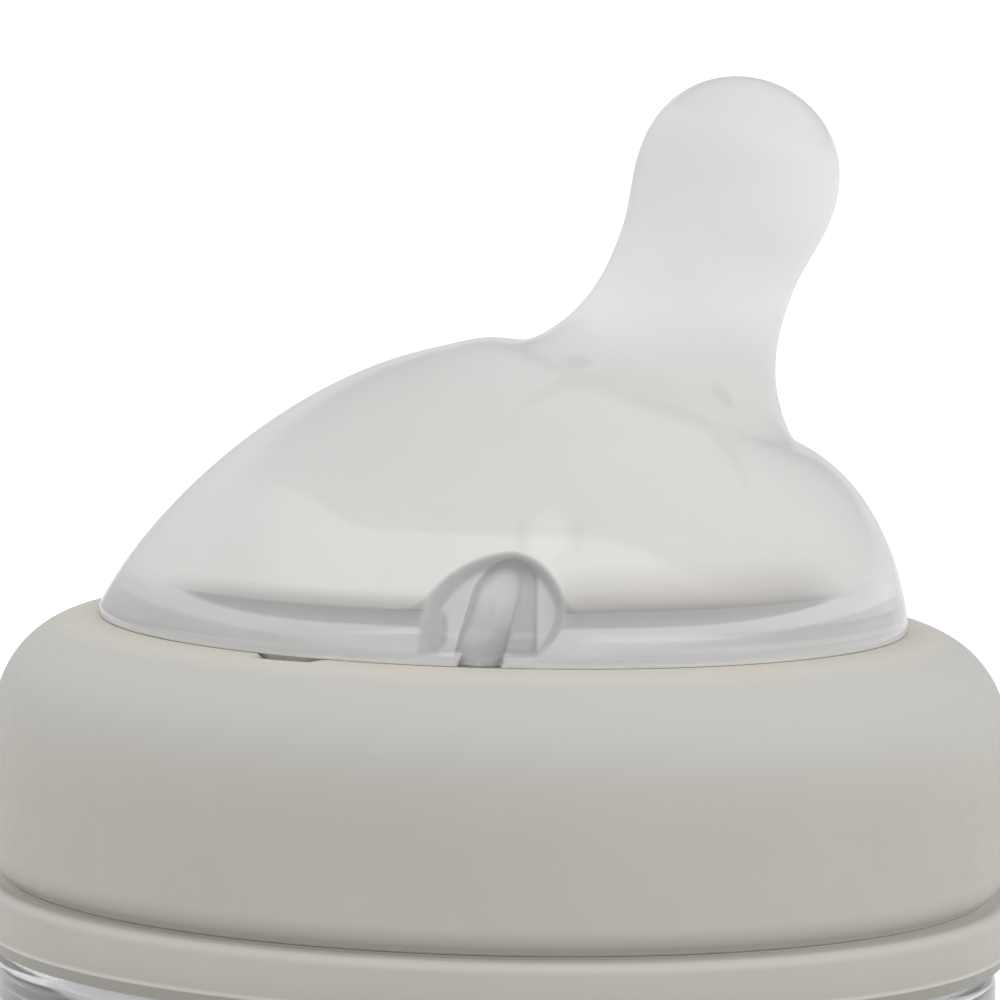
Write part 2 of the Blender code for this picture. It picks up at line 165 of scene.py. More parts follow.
# Bottle and threads
BOTTLE_WALL = 1.7 * MM
BASE_ROUND = 7.0 * MM
SHOULDER_ROUND = 1.6 * MM
NECK_RADIUS, NECK_BORE = 30.6 * MM, 28.7 * MM
SNAP_BEAD_RADIUS = 32.6 * MM
BASE_LOSS = 2.05                    # millilitres that the rounded base holds less than a square one
PITCH = 4.0 * MM
NECK_THREAD_START = LIP - 14.6 * MM
THREAD_OUT, THREAD_SUNK, THREAD_HALF = 1.2 * MM, 0.1 * MM, 0.95 * MM

# Printed volume scale on the bottle
SCALE_ANGLE = math.radians(-98.0)
INK_LOW, INK_HIGH = 0.01 * MM, 0.05 * MM


# ---------------------------------------------------------------- mesh helpers

def mesh_object(name, verts, faces, material):
    """A smooth-shaded mesh, added to the scene."""
    mesh = bpy.data.meshes.new(name)
    mesh.from_pydata([tuple(v) for v in verts], [], faces)
    mesh.validate()
    mesh.shade_smooth()
    item = bpy.data.objects.new(name, mesh)
    bpy.context.collection.objects.link(item)
    mesh.materials.append(material)
    return item


def loop_faces(rows, columns, wrap_rows=False):
    """Quads between successive closed loops of points."""
    faces = []
    last = rows if wrap_rows else rows - 1
    for row in range(last):
        low = row * columns
        high = ((row + 1) % rows) * columns
        for side in range(columns):
            after = (side + 1) % columns
            faces.append((low + side, low + after, high + after, high + side))
    return faces


def turned(name, profile, material, sides=256, closed=True):
    """Turn a profile about Z: closed makes a ring, open starts and ends on the axis."""
    angles = np.arange(sides) * TURN / sides
    if closed:
        rows = profile
    else:
        rows = profile[1:-1]
    rows = np.array(rows)
    verts = np.empty((len(rows), sides, 3))
    verts[..., 0] = rows[:, :1] * np.cos(angles)
    verts[..., 1] = rows[:, :1] * np.sin(angles)
    verts[..., 2] = rows[:, 1:]
    verts = list(verts.reshape(-1, 3))
    faces = loop_faces(len(rows), sides, wrap_rows=closed)
    if not closed:
        first, last = len(verts), len(verts) + 1
        verts += [(0.0, 0.0, profile[0][1]), (0.0, 0.0, profile[-1][1])]
        top = (len(rows) - 1) * sides
        for side in range(sides):
            after = (side + 1) % sides
            faces.append((first, after, side))
            faces.append((last, top + side, top + after))
    return mesh_object(name, verts, faces, material)


def arc(centre_r, centre_z, radius_r, radius_z, start, end, steps):
    """Points of a profile's arc, from one angle to another in degrees."""
    angles = np.radians(np.linspace(start, end, steps + 1))
    return list(zip(centre_r + radius_r * np.cos(angles), centre_z + radius_z * np.sin(angles)))


def smooth_step(value, low, high):
    """0 below low and 1 above high, smooth between."""
    x = np.clip((value - low) / (high - low), 0.0, 1.0)
    return x * x * (3.0 - 2.0 * x)


def fade(value, low, high):
    """1 below low and 0 above high, smooth between."""
    return 1.0 - smooth_step(value, low, high)


# ---------------------------------------------------------------- materials

class Nodes:
    """Short hand for building the node tree of a material or a world."""

    def __init__(self, owner):
        owner.use_nodes = True
        self.owner = owner
        self.tree = owner.node_tree
        self.shader = self.tree.nodes.get("Principled BSDF")

    def add(self, kind, **settings):
        node = self.tree.nodes.new(kind)
        for key, value in settings.items():
            setattr(node, key, value)
        return node

    def link(self, source, target):
        self.tree.links.new(source, target)

    def set(self, **sockets):
        for key, value in sockets.items():
            self.shader.inputs[key.replace("_", " ")].default_value = value

    def position(self):
        return self.add("ShaderNodeTexCoord").outputs["Object"]

    def noise(self, scale, detail=4.0, roughness=0.5):
        node = self.add("ShaderNodeTexNoise")
        self.link(self.position(), node.inputs["Vector"])
        node.inputs["Scale"].default_value = scale
        node.inputs["Detail"].default_value = detail
        node.inputs["Roughness"].default_value = roughness
        return node.outputs["Fac"]

    def span(self, source, low, high, to_low, to_high, smooth=False):
        node = self.add("ShaderNodeMapRange")
        if smooth:
            node.interpolation_type = "SMOOTHSTEP"
        self.link(source, node.inputs["Value"])
        for key, value in (("From Min", low), ("From Max", high), ("To Min", to_low), ("To Max", to_high)):
            node.inputs[key].default_value = value
        return node.outputs["Result"]

    def mix(self, factor, low, high):
        node = self.add("ShaderNodeMix", data_type="RGBA")
        self.link(factor, node.inputs["Factor"])
        for socket, value in ((node.inputs[6], low), (node.inputs[7], high)):
            if isinstance(value, tuple):
                socket.default_value = (*value, 1.0)
            else:
                self.link(value, socket)
        return node.outputs[2]

    def bump(self, height, strength, distance):
        node = self.add("ShaderNodeBump")
        node.inputs["Strength"].default_value = strength
        node.inputs["Distance"].default_value = distance
        self.link(height, node.inputs["Height"])
        self.link(node.outputs["Normal"], self.shader.inputs["Normal"])

    def attribute(self, name):
        return self.add("ShaderNodeAttribute", attribute_name=name).outputs["Fac"]

    def math(self, operation, left, right=0.0, clamp=False):
        node = self.add("ShaderNodeMath", operation=operation, use_clamp=clamp)
        for socket, value in zip(node.inputs, (left, right)):
            if isinstance(value, (int, float)):
                socket.default_value = value
            else:
                self.link(value, socket)
        return node.outputs["Value"]

    def axes(self):
        node = self.add("ShaderNodeSeparateXYZ")
        self.link(self.position(), node.inputs["Vector"])
        return node.outputs

    def painted(self, colour, rough_low, rough_high, rough_scale):
        """Set the shader's colour, and a roughness that varies finely between two values."""
        self.link(colour, self.shader.inputs["Base Color"])
        fine = self.noise(rough_scale)
        self.link(self.span(fine, 0.3, 0.7, rough_low, rough_high), self.shader.inputs["Roughness"])


def root_arc(made):
    """Painted shade of the crease of the inner wall under the nipple's root, seen through the dome as a
    soft brown arc.
    """
    axes = made.axes()
    x = made.math("SUBTRACT", axes["X"], float(ROOT[0]))
    z = made.math("SUBTRACT", axes["Z"], float(ROOT[1]) + LIP)

    def along(direction):
        part = made.math("MULTIPLY", x, float(direction[0]))
        return made.math("ADD", part, made.math("MULTIPLY", z, float(direction[1])))

    out = made.math("ABSOLUTE", made.math("ADD", along(ACROSS), ARC_OFF))
    fall = made.math("POWER", made.math("DIVIDE", out, ARC_HALF), 4.0)
    fall = made.math("MULTIPLY", fall, ARC_FALL)
    off = made.math("ABSOLUTE", made.math("ADD", along(ALONG), fall))
    line = made.span(off, *ARC_SOFT, 1.0, 0.0, smooth=True)
    ends = made.span(out, *ARC_END, 1.0, 0.0, smooth=True)
    broken = made.span(made.noise(260.0, 2.0), 0.42, 0.6, 0.5, 1.0, smooth=True)
    return made.math("MULTIPLY", made.math("MULTIPLY", line, ends), broken)


def silicone_material():
    """Milky satin silicone on the dome and the nipple, clearer and glossier on the skirt.

    The mesh carries four layers: haze, 1 where the silicone is milky; shade, painted shade, 1 where
    darkest;
    warm, a brownish painted shadow over the seam; and pool, a painted reflection low on the dome.
    """
    made = Nodes(bpy.data.materials.new("silicone"))
    haze = made.attribute("haze")
    z = made.axes()["Z"]
    nipple = made.span(z, LIP + 17.0 * MM, LIP + 23.0 * MM, 0.0, 1.0, smooth=True)
    tip = made.span(z, LIP + 27.0 * MM, LIP + 37.0 * MM, 0.0, 1.0, smooth=True)
    # Painted shade: the crease under the nipple's root, as a brown arc
    arc_shade = made.math("MULTIPLY", root_arc(made), 0.11)
    # Painted reflection: the light patch low on the dome
    pool = made.math("MULTIPLY", made.attribute("pool"), 0.36)
    cloud = made.span(made.noise(90.0, 3.0), 0.35, 0.65, 0.0, 1.0)
    milky = made.mix(cloud, (0.728, 0.73, 0.708), (0.753, 0.755, 0.734))
    milky = made.mix(nipple, milky, (0.91, 0.915, 0.91))
    # Painted shade: darker towards the tip
    milky = made.mix(tip, milky, (0.79, 0.80, 0.795))
    colour = made.mix(haze, (0.93, 0.935, 0.93), milky)
    colour = made.mix(arc_shade, colour, (0.36, 0.31, 0.26))
    colour = made.mix(pool, colour, (0.90, 0.895, 0.87))
    # A warm painted shadow over the seam
    colour = made.mix(made.attribute("warm"), colour, (0.50, 0.46, 0.41))
    # Painted shade
    colour = made.mix(made.attribute("shade"), colour, (0.30, 0.30, 0.315))
    made.link(colour, made.shader.inputs["Base Color"])
    made.link(made.span(haze, 0.0, 1.0, 0.10, 0.30), made.shader.inputs["Roughness"])
    made.link(made.span(haze, 0.0, 1.0, 0.5, 0.15), made.shader.inputs["Transmission Weight"])
    made.set(IOR=1.41, Specular_IOR_Level=0.2, Coat_Weight=0.6, Coat_Roughness=0.06, Coat_IOR=1.5)
    made.bump(made.noise(2600.0, 3.0), 0.05, 0.02 * MM)
    return made.owner


def collar_material():
    """Matt warm grey, paler on the shoulder and creamy at the lip with painted light, darker in the
    undercut with painted shade, and paler again on the foot's bottom edge with painted light.
    """
    made = Nodes(bpy.data.materials.new("collar_resin"))
    z = made.axes()["Z"]
    bottom = LIP + COLLAR_BOTTOM
    # Painted light: paler at the lip
    lip = made.span(z, LIP - 1.1 * MM, LIP - 0.1 * MM, 0.0, 1.0, smooth=True)
    # Painted light: paler on the shoulder
    shoulder = made.span(z, LIP - 11.5 * MM, LIP - 1.0 * MM, 0.0, 1.0, smooth=True)
    # Painted shade: darker in the undercut
    undercut = made.span(z, bottom + 1.0 * MM, bottom + 2.1 * MM, 1.0, 0.0, smooth=True)
    # Painted light: paler at the foot's bottom edge
    edge = made.span(z, bottom + 0.05 * MM, bottom + 0.5 * MM, 1.0, 0.0, smooth=True)
    patchy = made.span(made.noise(60.0, 5.0, 0.6), 0.3, 0.7, 0.0, 1.0)
    colour = made.mix(patchy, (0.455, 0.428, 0.383), (0.480, 0.453, 0.408))
    colour = made.mix(shoulder, colour, (0.528, 0.523, 0.50))
    colour = made.mix(undercut, colour, (0.42, 0.39, 0.355))
    colour = made.mix(edge, colour, (0.66, 0.62, 0.57))
    colour = made.mix(lip, colour, (0.62, 0.585, 0.52))
    made.painted(colour, 0.42, 0.56, 900.0)
    made.set(IOR=1.5)
    made.bump(made.noise(5200.0, 2.0), 0.12, 0.02 * MM)
    return made.owner


def ring_material():
    """Satin grey, with painted light and shade: darker towards the bottom, a painted highlight on the top
    edge and on the thin bead over the narrower foot, painted shade on the top face, painted light on the
    riser.
    """
    made = Nodes(bpy.data.materials.new("ring_resin"))
    z = made.axes()["Z"]
    bead_low = RING_LOW.z + RING_FOOT
    # Painted shade: darker towards the bottom
    side = made.span(z, RING_LOW.z, RING_TOP - 1.2 * MM, 1.0, 0.0, smooth=True)
    # Painted highlight on the top edge
    edge = made.span(z, RING_TOP - 0.9 * MM, RING_TOP - 0.3 * MM, 0.0, 1.0, smooth=True)
    # Painted shade on the top face under the collar
    top = made.span(z, RING_TOP - 0.16 * MM, RING_TOP - 0.04 * MM, 0.0, 1.0)
    # Painted light on the riser under the collar
    riser = made.span(z, RING_TOP + 0.02 * MM, RING_TOP + 0.1 * MM, 0.0, 1.0)
    # Painted highlight on the thin bead over the foot
    bead_highlight_low = made.span(z, bead_low, bead_low + 0.1 * MM, 0.0, 1.0)
    bead_highlight_high = made.span(z, bead_low + 0.25 * MM, bead_low + 0.45 * MM, 1.0, 0.0)
    patchy = made.span(made.noise(70.0, 4.0), 0.3, 0.7, 0.0, 1.0)
    colour = made.mix(patchy, (0.455, 0.433, 0.392), (0.485, 0.463, 0.422))
    colour = made.mix(side, colour, (0.42, 0.40, 0.36))
    colour = made.mix(edge, colour, (0.53, 0.515, 0.475))
    colour = made.mix(top, colour, (0.47, 0.445, 0.41))
    colour = made.mix(riser, colour, (0.56, 0.535, 0.49))
    colour = made.mix(made.math("MULTIPLY", bead_highlight_low, bead_highlight_high), colour, (0.57, 0.55, 0.51))
    made.painted(colour, 0.34, 0.46, 700.0)
    made.set(IOR=1.5)
    made.bump(made.noise(4200.0, 2.0), 0.1, 0.02 * MM)
    return made.owner


def bottle_material():
    """Clear plastic with a trace of haze."""
    made = Nodes(bpy.data.materials.new("clear_bottle"))
    swirl = made.span(made.noise(35.0, 2.0), 0.3, 0.7, 0.0, 1.0)
    made.painted(made.mix(swirl, (0.86, 0.87, 0.885), (0.89, 0.90, 0.91)), 0.05, 0.09, 400.0)
    made.set(IOR=1.49, Transmission_Weight=0.88)
    made.bump(made.noise(160.0, 2.0), 0.15, 0.05 * MM)
    return made.owner


def ink_material():
    """Grey print, a little worn."""
    made = Nodes(bpy.data.materials.new("scale_ink"))
    worn = made.span(made.noise(900.0, 4.0), 0.3, 0.7, 0.0, 1.0)
    made.link(made.mix(worn, (0.30, 0.30, 0.29), (0.36, 0.36, 0.35)), made.shader.inputs["Base Color"])
    made.link(made.span(worn, 0.0, 1.0, 0.35, 0.6), made.shader.inputs["Roughness"])
    return made.owner


def floor_material():
    """Pale paper that looks as white as the backdrop, but lights the bottle only as pale paper does."""
    made = Nodes(bpy.data.materials.new("paper_floor"))
    fibre = made.span(made.noise(30.0, 3.0), 0.3, 0.7, 0.0, 1.0)
    made.link(made.mix(fibre, (0.80, 0.80, 0.80), (0.82, 0.82, 0.82)), made.shader.inputs["Base Color"])
    made.set(Roughness=0.9, Emission_Color=(1.0, 1.0, 1.0, 1.0))
    seen = made.add("ShaderNodeLightPath").outputs["Is Camera Ray"]
    made.link(made.math("MULTIPLY", seen, BACKDROP_LIFT), made.shader.inputs["Emission Strength"])
    return made.owner


# ---------------------------------------------------------------- teat

def bezier(start, pulls, end, t):
    """Points of a cubic curve at the values t."""
    t = t[:, None]
    u = 1.0 - t
    return start * u ** 3 + pulls[0] * 3 * u * u * t + pulls[1] * 3 * u * t * t + end * t ** 3


def nipple_radius(along, length=NIPPLE_LENGTH, thinner=0.0):
    """Radius along the nipple: flare, waist, bulb, rounded tip. thinner gives the bore inside the wall."""
    flare = WAIST + (ROOT_RADIUS - WAIST) * np.clip(1.0 - along / WAIST_AT, 0.0, 1.0) ** FLARE_POWER
    swell = WAIST + (BULB - WAIST) * (1.0 - np.cos(math.pi * (along - WAIST_AT) / (BULB_AT - WAIST_AT))) / 2
    reach = np.clip((along - BULB_AT) / (length - BULB_AT), 0.0, 1.0)
    tip = (BULB - thinner) * np.sqrt(1.0 - reach ** TIP_POWER)
    return np.where(along < WAIST_AT, flare - thinner, np.where(along < BULB_AT, swell - thinner, tip))


def nipple_pairs(along, radius):
    """The nipple's outline points on the back and on the leaning side."""
    centre = ROOT + ALONG * along[:, None]
    return centre - ACROSS * radius[:, None], centre + ACROSS * radius[:, None]


def outlines():
    """The outer outlines on the back (-X) side and on the leaning (+X) side, up to the bulb."""
    low = np.linspace(0.0, 0.36, 76)
    high = np.linspace(0.36, 1.0, 46)[1:]
    t = np.concatenate((low, high))
    back = bezier(np.array((-SKIRT_RADIUS, SKIRT_EDGE)), BACK_PULLS, ROOT - ACROSS * ROOT_RADIUS, t)
    lean = bezier(np.array((SKIRT_RADIUS, SKIRT_EDGE)), LEAN_PULLS, ROOT + ACROSS * ROOT_RADIUS, t)
    along = np.linspace(0.0, BULB_AT, 52)[1:]
    nipple_back, nipple_lean = nipple_pairs(along, nipple_radius(along))
    back = np.concatenate((back, nipple_back))
    lean = np.concatenate((lean, nipple_lean))
    crease = len(t) - 1
    back = soften(back, crease, 8, 7)
    back[:, 1] += HUMP_RISE * np.exp(-((back[:, 0] - HUMP_AT) / HUMP_WIDTH) ** 2)
    return back, soften(lean, crease)


def soften(points, middle, reach=9, passes=10):
    """Round the crease between dome and nipple, at the point numbered middle."""
    points = points.copy()
    low, high = middle - reach, middle + reach
    for _ in range(passes):
        points[low:high] = (points[low - 1:high - 1] + 2 * points[low:high] + points[low + 1:high + 1]) / 4
    return points


def inwards(points, distance, side):
    """Offset an outline along its normals."""
    along = np.gradient(points, axis=0)
    along /= np.linalg.norm(along, axis=1)[:, None]
    return points + np.stack((along[:, 1], -along[:, 0]), axis=1) * distance * side


def front_dense_angles():
    """Angles round the teat, closest together round the vent at -90 degrees."""
    fine, coarse = math.radians(0.24), math.radians(1.6)
    angles = [-math.pi / 2]
    while angles[-1] < math.pi / 2:
        off = angles[-1] + math.pi / 2
        angles.append(angles[-1] + fine + (coarse - fine) * float(smooth_step(off, 0.22, 0.5)))
    half = np.array(angles[1:-1])
    return np.concatenate((angles[:1], half, [math.pi / 2], -math.pi - half[::-1]))


def rings(back, lean, angles):
    """Circles whose diameters join the two outlines, as an array of rows by columns by xyz."""
    centre = (back + lean) / 2
    half = (lean - back) / 2
    radius = np.linalg.norm(half, axis=1)
    out = np.empty((len(back), len(angles), 3))
    out[..., 0] = centre[:, :1] + half[:, :1] * np.cos(angles)
    out[..., 1] = radius[:, None] * np.sin(angles)
    out[..., 2] = centre[:, 1:] + half[:, 1:] * np.cos(angles)
    return out


def level_rings(profile, angles):
    """Level circles of a profile's radii and heights."""
    profile = np.array(profile)
    flip = np.array((-1.0, 1.0))
    return rings(profile * flip, profile, angles)


def bell_distance(x, z):
    """Distance to the recess's bell-shaped rim, negative inside; its right foot draws in below."""
    off = x - BELL_X
    right = BELL_RIGHT - np.clip(4.2 * MM - z, 0.0, None) ** 2 / (6.2 * MM)
    half = np.where(off < 0.0, BELL_LEFT, right)
    power = np.where(off < 0.0, 1.6, 2.0)
    height = BELL_TOP - BELL_FOOT
    rise = np.clip((z - BELL_FOOT) / height, 0.0, None)
    return (np.sqrt((np.abs(off) / half) ** power + rise ** 2) - 1.0) * height


def tongue_distance(x, z):
    """Distance to the leaning tongue's outline, negative inside, and the place across it from -1 to 1."""
    across = (x - TONGUE_X - TONGUE_LEAN * z) / TONGUE_HALF
    rise = np.clip((z - TONGUE_SHOULDER) / (TONGUE_TOP - TONGUE_SHOULDER), 0.0, None)
    return (np.hypot(across, rise) - 1.0) * TONGUE_HALF, across


def groove_distance(x, z):
    """Distance to the groove round the tongue: the tongue's outline grown, joined with an upright arch."""
    middle = GROOVE_TOP - GROOVE_HALF
    arch = np.hypot(x - GROOVE_X, np.clip(z - middle, 0.0, None)) - GROOVE_HALF
    return np.minimum(tongue_distance(x, z)[0] - 0.45 * MM, arch)


def carve_vent(grid):
    """Press the recess, the groove and the tongue into the front of the skirt."""
    x, y, z = grid[..., 0], grid[..., 1], grid[..., 2]
    bell = bell_distance(x, z)
    tongue = tongue_distance(x, z)[0]
    floor = smooth_step(-bell, 0.0, BELL_SLOPE)
    cut = fade(groove_distance(x, z), -0.22 * MM, 0.05 * MM)
    crown = np.sqrt(np.clip(-tongue / TONGUE_HALF, 0.0, 1.0))
    above_ledge = smooth_step(z, LEDGE - 0.1 * MM, LEDGE + 0.1 * MM)
    open_foot = fade(tongue, -0.1 * MM, 0.1 * MM) * smooth_step(z, -0.6 * MM, 0.0)
    depth = RECESS * floor + floor * GROOVE_CUT * cut - TONGUE_CROWN * crown * floor
    depth = depth * np.maximum(above_ledge, open_foot)
    grid[..., 1] = np.where(y < 0.0, y + depth, y)


def raise_hood(grid):
    """Bulge the inside of the front wall behind the recess, with a wide soft flare."""
    x, y, z = grid[..., 0], grid[..., 1], grid[..., 2]
    near = fade(bell_distance(x, z), -0.5 * MM, 3.4 * MM) * smooth_step(z, -2.4 * MM, 0.4 * MM)
    grid[..., 1] = np.where(y < 0.0, y + HOOD * near, y)


def seam_crescent(x, level, side):
    """Painted shade, the crescent under the seam: it thins towards its ends, and its top is softer on the
    right.
    """
    taper = np.clip((side - CRESCENT_FULL) / CRESCENT_TAPER, 0.0, 1.0) ** 2
    low = SEAM_BOTTOM + (SEAM_TOP - SEAM_BOTTOM) * taper
    blur = smooth_step(x, -2.0 * MM, 9.0 * MM)
    over = (level - SEAM_TOP + (0.05 + 0.2 * blur) * MM) / ((0.17 + 0.65 * blur) * MM)
    body = smooth_step(level, low - 0.06 * MM, low + 0.10 * MM) * fade(over, 0.0, 1.0)
    body = body * (0.72 + 0.28 * smooth_step(level, SEAM_BOTTOM, SEAM_TOP))
    return body * fade(side, *CRESCENT_ENDS)


def seam_tint(x, level, side):
    """A warm painted shadow over the seam, taller and stronger on the right of the vent."""
    right = smooth_step(x, 0.0, 6.0 * MM)
    reach = (1.3 + 1.9 * right) * MM
    tint = smooth_step(level, SEAM_TOP - 0.1 * MM, SEAM_TOP + 0.05 * MM)
    tint = tint * fade((level - SEAM_TOP) / reach, 0.05, 1.1) * fade(side, *WARM_ENDS)
    return tint * (0.46 + 0.24 * right)


def side_streak(level, side):
    """Painted shade, a streak low on the skirt, wider towards both sides."""
    wide = np.clip((side - STREAK_FROM) / STREAK_SPREAD, 0.0, 1.0)
    off = np.abs(level - (1.15 + 0.6 * wide) * MM) - 0.85 * MM * wide
    return fade(off, -0.1 * MM, 0.15 * MM) * smooth_step(wide, 0.0, 0.35)


def seam_fillet(level, bell):
    """Painted shade in the hollow corner where the seam runs into the vent's rim."""
    above = np.clip(level - SEAM_TOP, 0.0, None)
    beside = np.clip(bell, 0.0, None)
    corner = (np.sqrt(above) + np.sqrt(beside)) / math.sqrt(MM)
    return fade(corner, 0.9, 1.3) * smooth_step(level, SEAM_TOP - 0.05 * MM, SEAM_TOP)


def vent_shade(x, z, bell, inside, front):
    """Painted shade in the vent: rim, oval on the left, groove with its painted glint, tongue darker low
    and to the right, and the tongue's foot.
    """
    tongue, across = tongue_distance(x, z)
    groove = groove_distance(x, z)
    above_ledge = smooth_step(z, 0.55 * MM, 0.75 * MM)

    rim = smooth_step(-bell, -0.18 * MM, 0.12 * MM) * fade(-bell, 0.8 * MM, 1.1 * MM)
    oval = fade(np.hypot((x + 4.45 * MM) / (0.9 * MM), (z - 2.2 * MM) / (1.5 * MM)), 0.75, 1.1)
    glint = fade(np.abs(groove + 0.02 * MM), 0.04 * MM, 0.13 * MM) * smooth_step(z, 2.5 * MM, 4.5 * MM)
    trench = fade(groove, -0.1 * MM, 0.08 * MM) * smooth_step(tongue, -0.05 * MM, 0.08 * MM)
    trench = trench * (1.0 - 0.85 * glint) * (TRENCH_SHADE + 0.08 * smooth_step(x, 0.0, MM))
    rod = np.clip(0.05 + 0.54 * fade(z, 0.5 * MM, 6.2 * MM) + 0.22 * across, 0.0, 1.0)
    rod = rod * fade(tongue, -0.08 * MM, 0.05 * MM)

    grey = np.maximum.reduce((RIM_SHADE * rim, OVAL_SHADE * oval, trench, TONGUE_SHADE * rod))
    foot = FOOT_SHADE * rod * (1.0 - above_ledge) * front * smooth_step(z, -0.2 * MM, 0.1 * MM)
    return grey * inside * above_ledge + foot


def strips(x, z):
    """A painted reflection: two faint darker upright strips over the vent."""
    tall = smooth_step(z, 7.0 * MM, 7.6 * MM) * fade(z, 8.6 * MM, 10.0 * MM)
    return tall * sum(fade(np.abs(x - middle), 0.05 * MM, 0.55 * MM) for middle in (1.0 * MM, 4.8 * MM))


def rib_marks(x, z):
    """Painted shade: the inner ribs, seen through the nipple's root as two small grey marks."""
    left = np.hypot((x - 4.7 * MM) / (0.95 * MM), (z - 18.5 * MM) / (0.42 * MM))
    off, up = x - 14.5 * MM, z - 16.5 * MM
    right = np.hypot((off - up) / (1.5 * MM), (off + up) / (0.6 * MM))
    return fade(left, 0.7, 1.15) + fade(right, 0.7, 1.15)


def light_pool(x, z):
    """A painted reflection, the soft light patch low on the dome's front: its top is level over the vent,
    lower on the right.
    """
    border = 8.3 * MM - 4.9 * MM * smooth_step(x, 5.0 * MM, 20.0 * MM)
    border = border + 2.0 * MM * smooth_step(-x, 9.0 * MM, 15.0 * MM)
    pool = fade(z - border, -0.3 * MM, 0.25 * MM)
    return pool * fade(-x, 13.0 * MM, 18.0 * MM) * fade(x, 18.0 * MM, 24.0 * MM)


def light_spot(x, z):
    """A painted reflection, the brighter spot between the strips over the vent."""
    return fade(np.hypot((x - 2.8 * MM) / (1.5 * MM), (z - 8.3 * MM) / (2.0 * MM)), 0.55, 1.0)


def skirt_layers(grid):
    """Haze, warm, shade and pool values for the outside's points, taken before the vent is carved: warm,
    shade and pool are painted shadow, shade and reflection.
    """
    x, y, z = grid[..., 0], grid[..., 1], grid[..., 2]
    side = np.degrees(np.arctan2(np.abs(x), np.abs(y)))
    level = z - SEAM_TILT * x
    front = (y < 0.0) & (z < 12.0 * MM)
    bell = np.where(front, bell_distance(x, z), 1.0)
    inside = fade(bell, -0.25 * MM, 0.1 * MM)
    outside = 1.0 - inside

    haze = smooth_step(level, HAZE_FROM, HAZE_TO) * (1.0 - (1.0 - HAZE_IN_VENT) * inside)
    haze = np.maximum(haze, fade(z, 0.25 * MM, 0.42 * MM))

    # Painted shade round the seam, in the vent and at the ribs, and a painted reflection in the strips
    shade = CRESCENT_SHADE * seam_crescent(x, level, side) + STREAK_SHADE * side_streak(level, side)
    # Painted shade along a thin line low on the skirt
    shade = shade + LINE_SHADE * fade(np.abs(z - LINE_HEIGHT), 0.03 * MM, 0.13 * MM)
    shade = shade + FILLET_SHADE * seam_fillet(level, bell) * front
    shade = shade * outside + vent_shade(x, z, bell, inside, front)
    shade = shade + STRIP_REFLECTION * strips(x, z) * front + RIB_SHADE * rib_marks(x, z)

    # warm: a warm painted shadow over the seam
    warm = seam_tint(x, level, side) * outside
    # pool: a painted reflection low on the dome and over the vent
    pool = light_pool(x, z) * (y < 0.0) * outside + 0.7 * light_spot(x, z) * front
    return haze, warm, np.clip(shade, 0.0, 1.0), pool * haze


def raise_ribs(grid):
    """Four short ribs inside the nipple's root."""
    x, y, z = grid[..., 0], grid[..., 1], grid[..., 2]
    across = (x - ROOT[0]) * ACROSS[0] + (z - ROOT[1]) * ACROSS[1]
    along = (x - ROOT[0]) * ALONG[0] + (z - ROOT[1]) * ALONG[1]
    for side in (-1.0, 1.0):
        off = np.hypot((across - side * 5.3 * MM) / (0.9 * MM), (along - 0.4 * MM) / (1.5 * MM))
        lift = 0.75 * MM * fade(off, 0.2, 1.0)
        grid[..., 1] = grid[..., 1] - np.sign(y) * lift


def flange_profile():
    """The flange, the groove for the collar's lip, and the skirt's foot over the lip's nose."""
    edge = 0.3 * MM
    seat = LIP_NOSE + 0.03 * MM
    profile = [(FLANGE_RADIUS - edge, FLANGE_BOTTOM)]
    profile += arc(FLANGE_RADIUS - edge, FLANGE_BOTTOM + edge, edge, edge, -90, 0, 3)[1:]
    profile += arc(FLANGE_RADIUS - edge, FLANGE_TOP - edge, edge, edge, 0, 90, 3)
    profile += [(r, FLANGE_TOP) for r in np.linspace(FLANGE_RADIUS - edge, GROOVE_RADIUS, 5)[1:]]
    profile += [(GROOVE_RADIUS, z) for z in np.linspace(FLANGE_TOP, -LIP_NOSE, 12)[1:]]
    profile += arc(OPENING_RADIUS + LIP_NOSE, -LIP_NOSE, seat, seat, 176, 102, 12)
    profile += [(SKIRT_RADIUS - 0.04 * MM, 0.06 * MM), (SKIRT_RADIUS, 0.2 * MM), (SKIRT_RADIUS, 0.38 * MM)]
    return profile


def with_tip(back, lean, length, thinner, angles):
    """Circles up two outlines and on over the nipple's tip, up to the edge of the feed hole."""
    reach = np.sin(np.linspace(0.0, math.pi / 2, 26))[1:-1]
    along = BULB_AT + (length - BULB_AT) * reach
    tip_back, tip_lean = nipple_pairs(along, nipple_radius(along, length=length, thinner=thinner))
    return rings(np.concatenate((back, tip_back)), np.concatenate((lean, tip_lean)), angles)


def shell_faces(outer_rows, inner_rows, columns):
    """Faces of the outside and of the inside, joined round the feed hole and under the flange."""
    shift = outer_rows * columns
    faces = loop_faces(outer_rows, columns)
    faces += [tuple(i + shift for i in face) for face in loop_faces(inner_rows, columns)]
    hole = shift - columns
    low = (outer_rows + inner_rows - 1) * columns
    for side in range(columns):
        after = (side + 1) % columns
        faces.append((hole + side, hole + after, shift + after, shift + side))
        faces.append((low + side, low + after, after, side))
    return faces


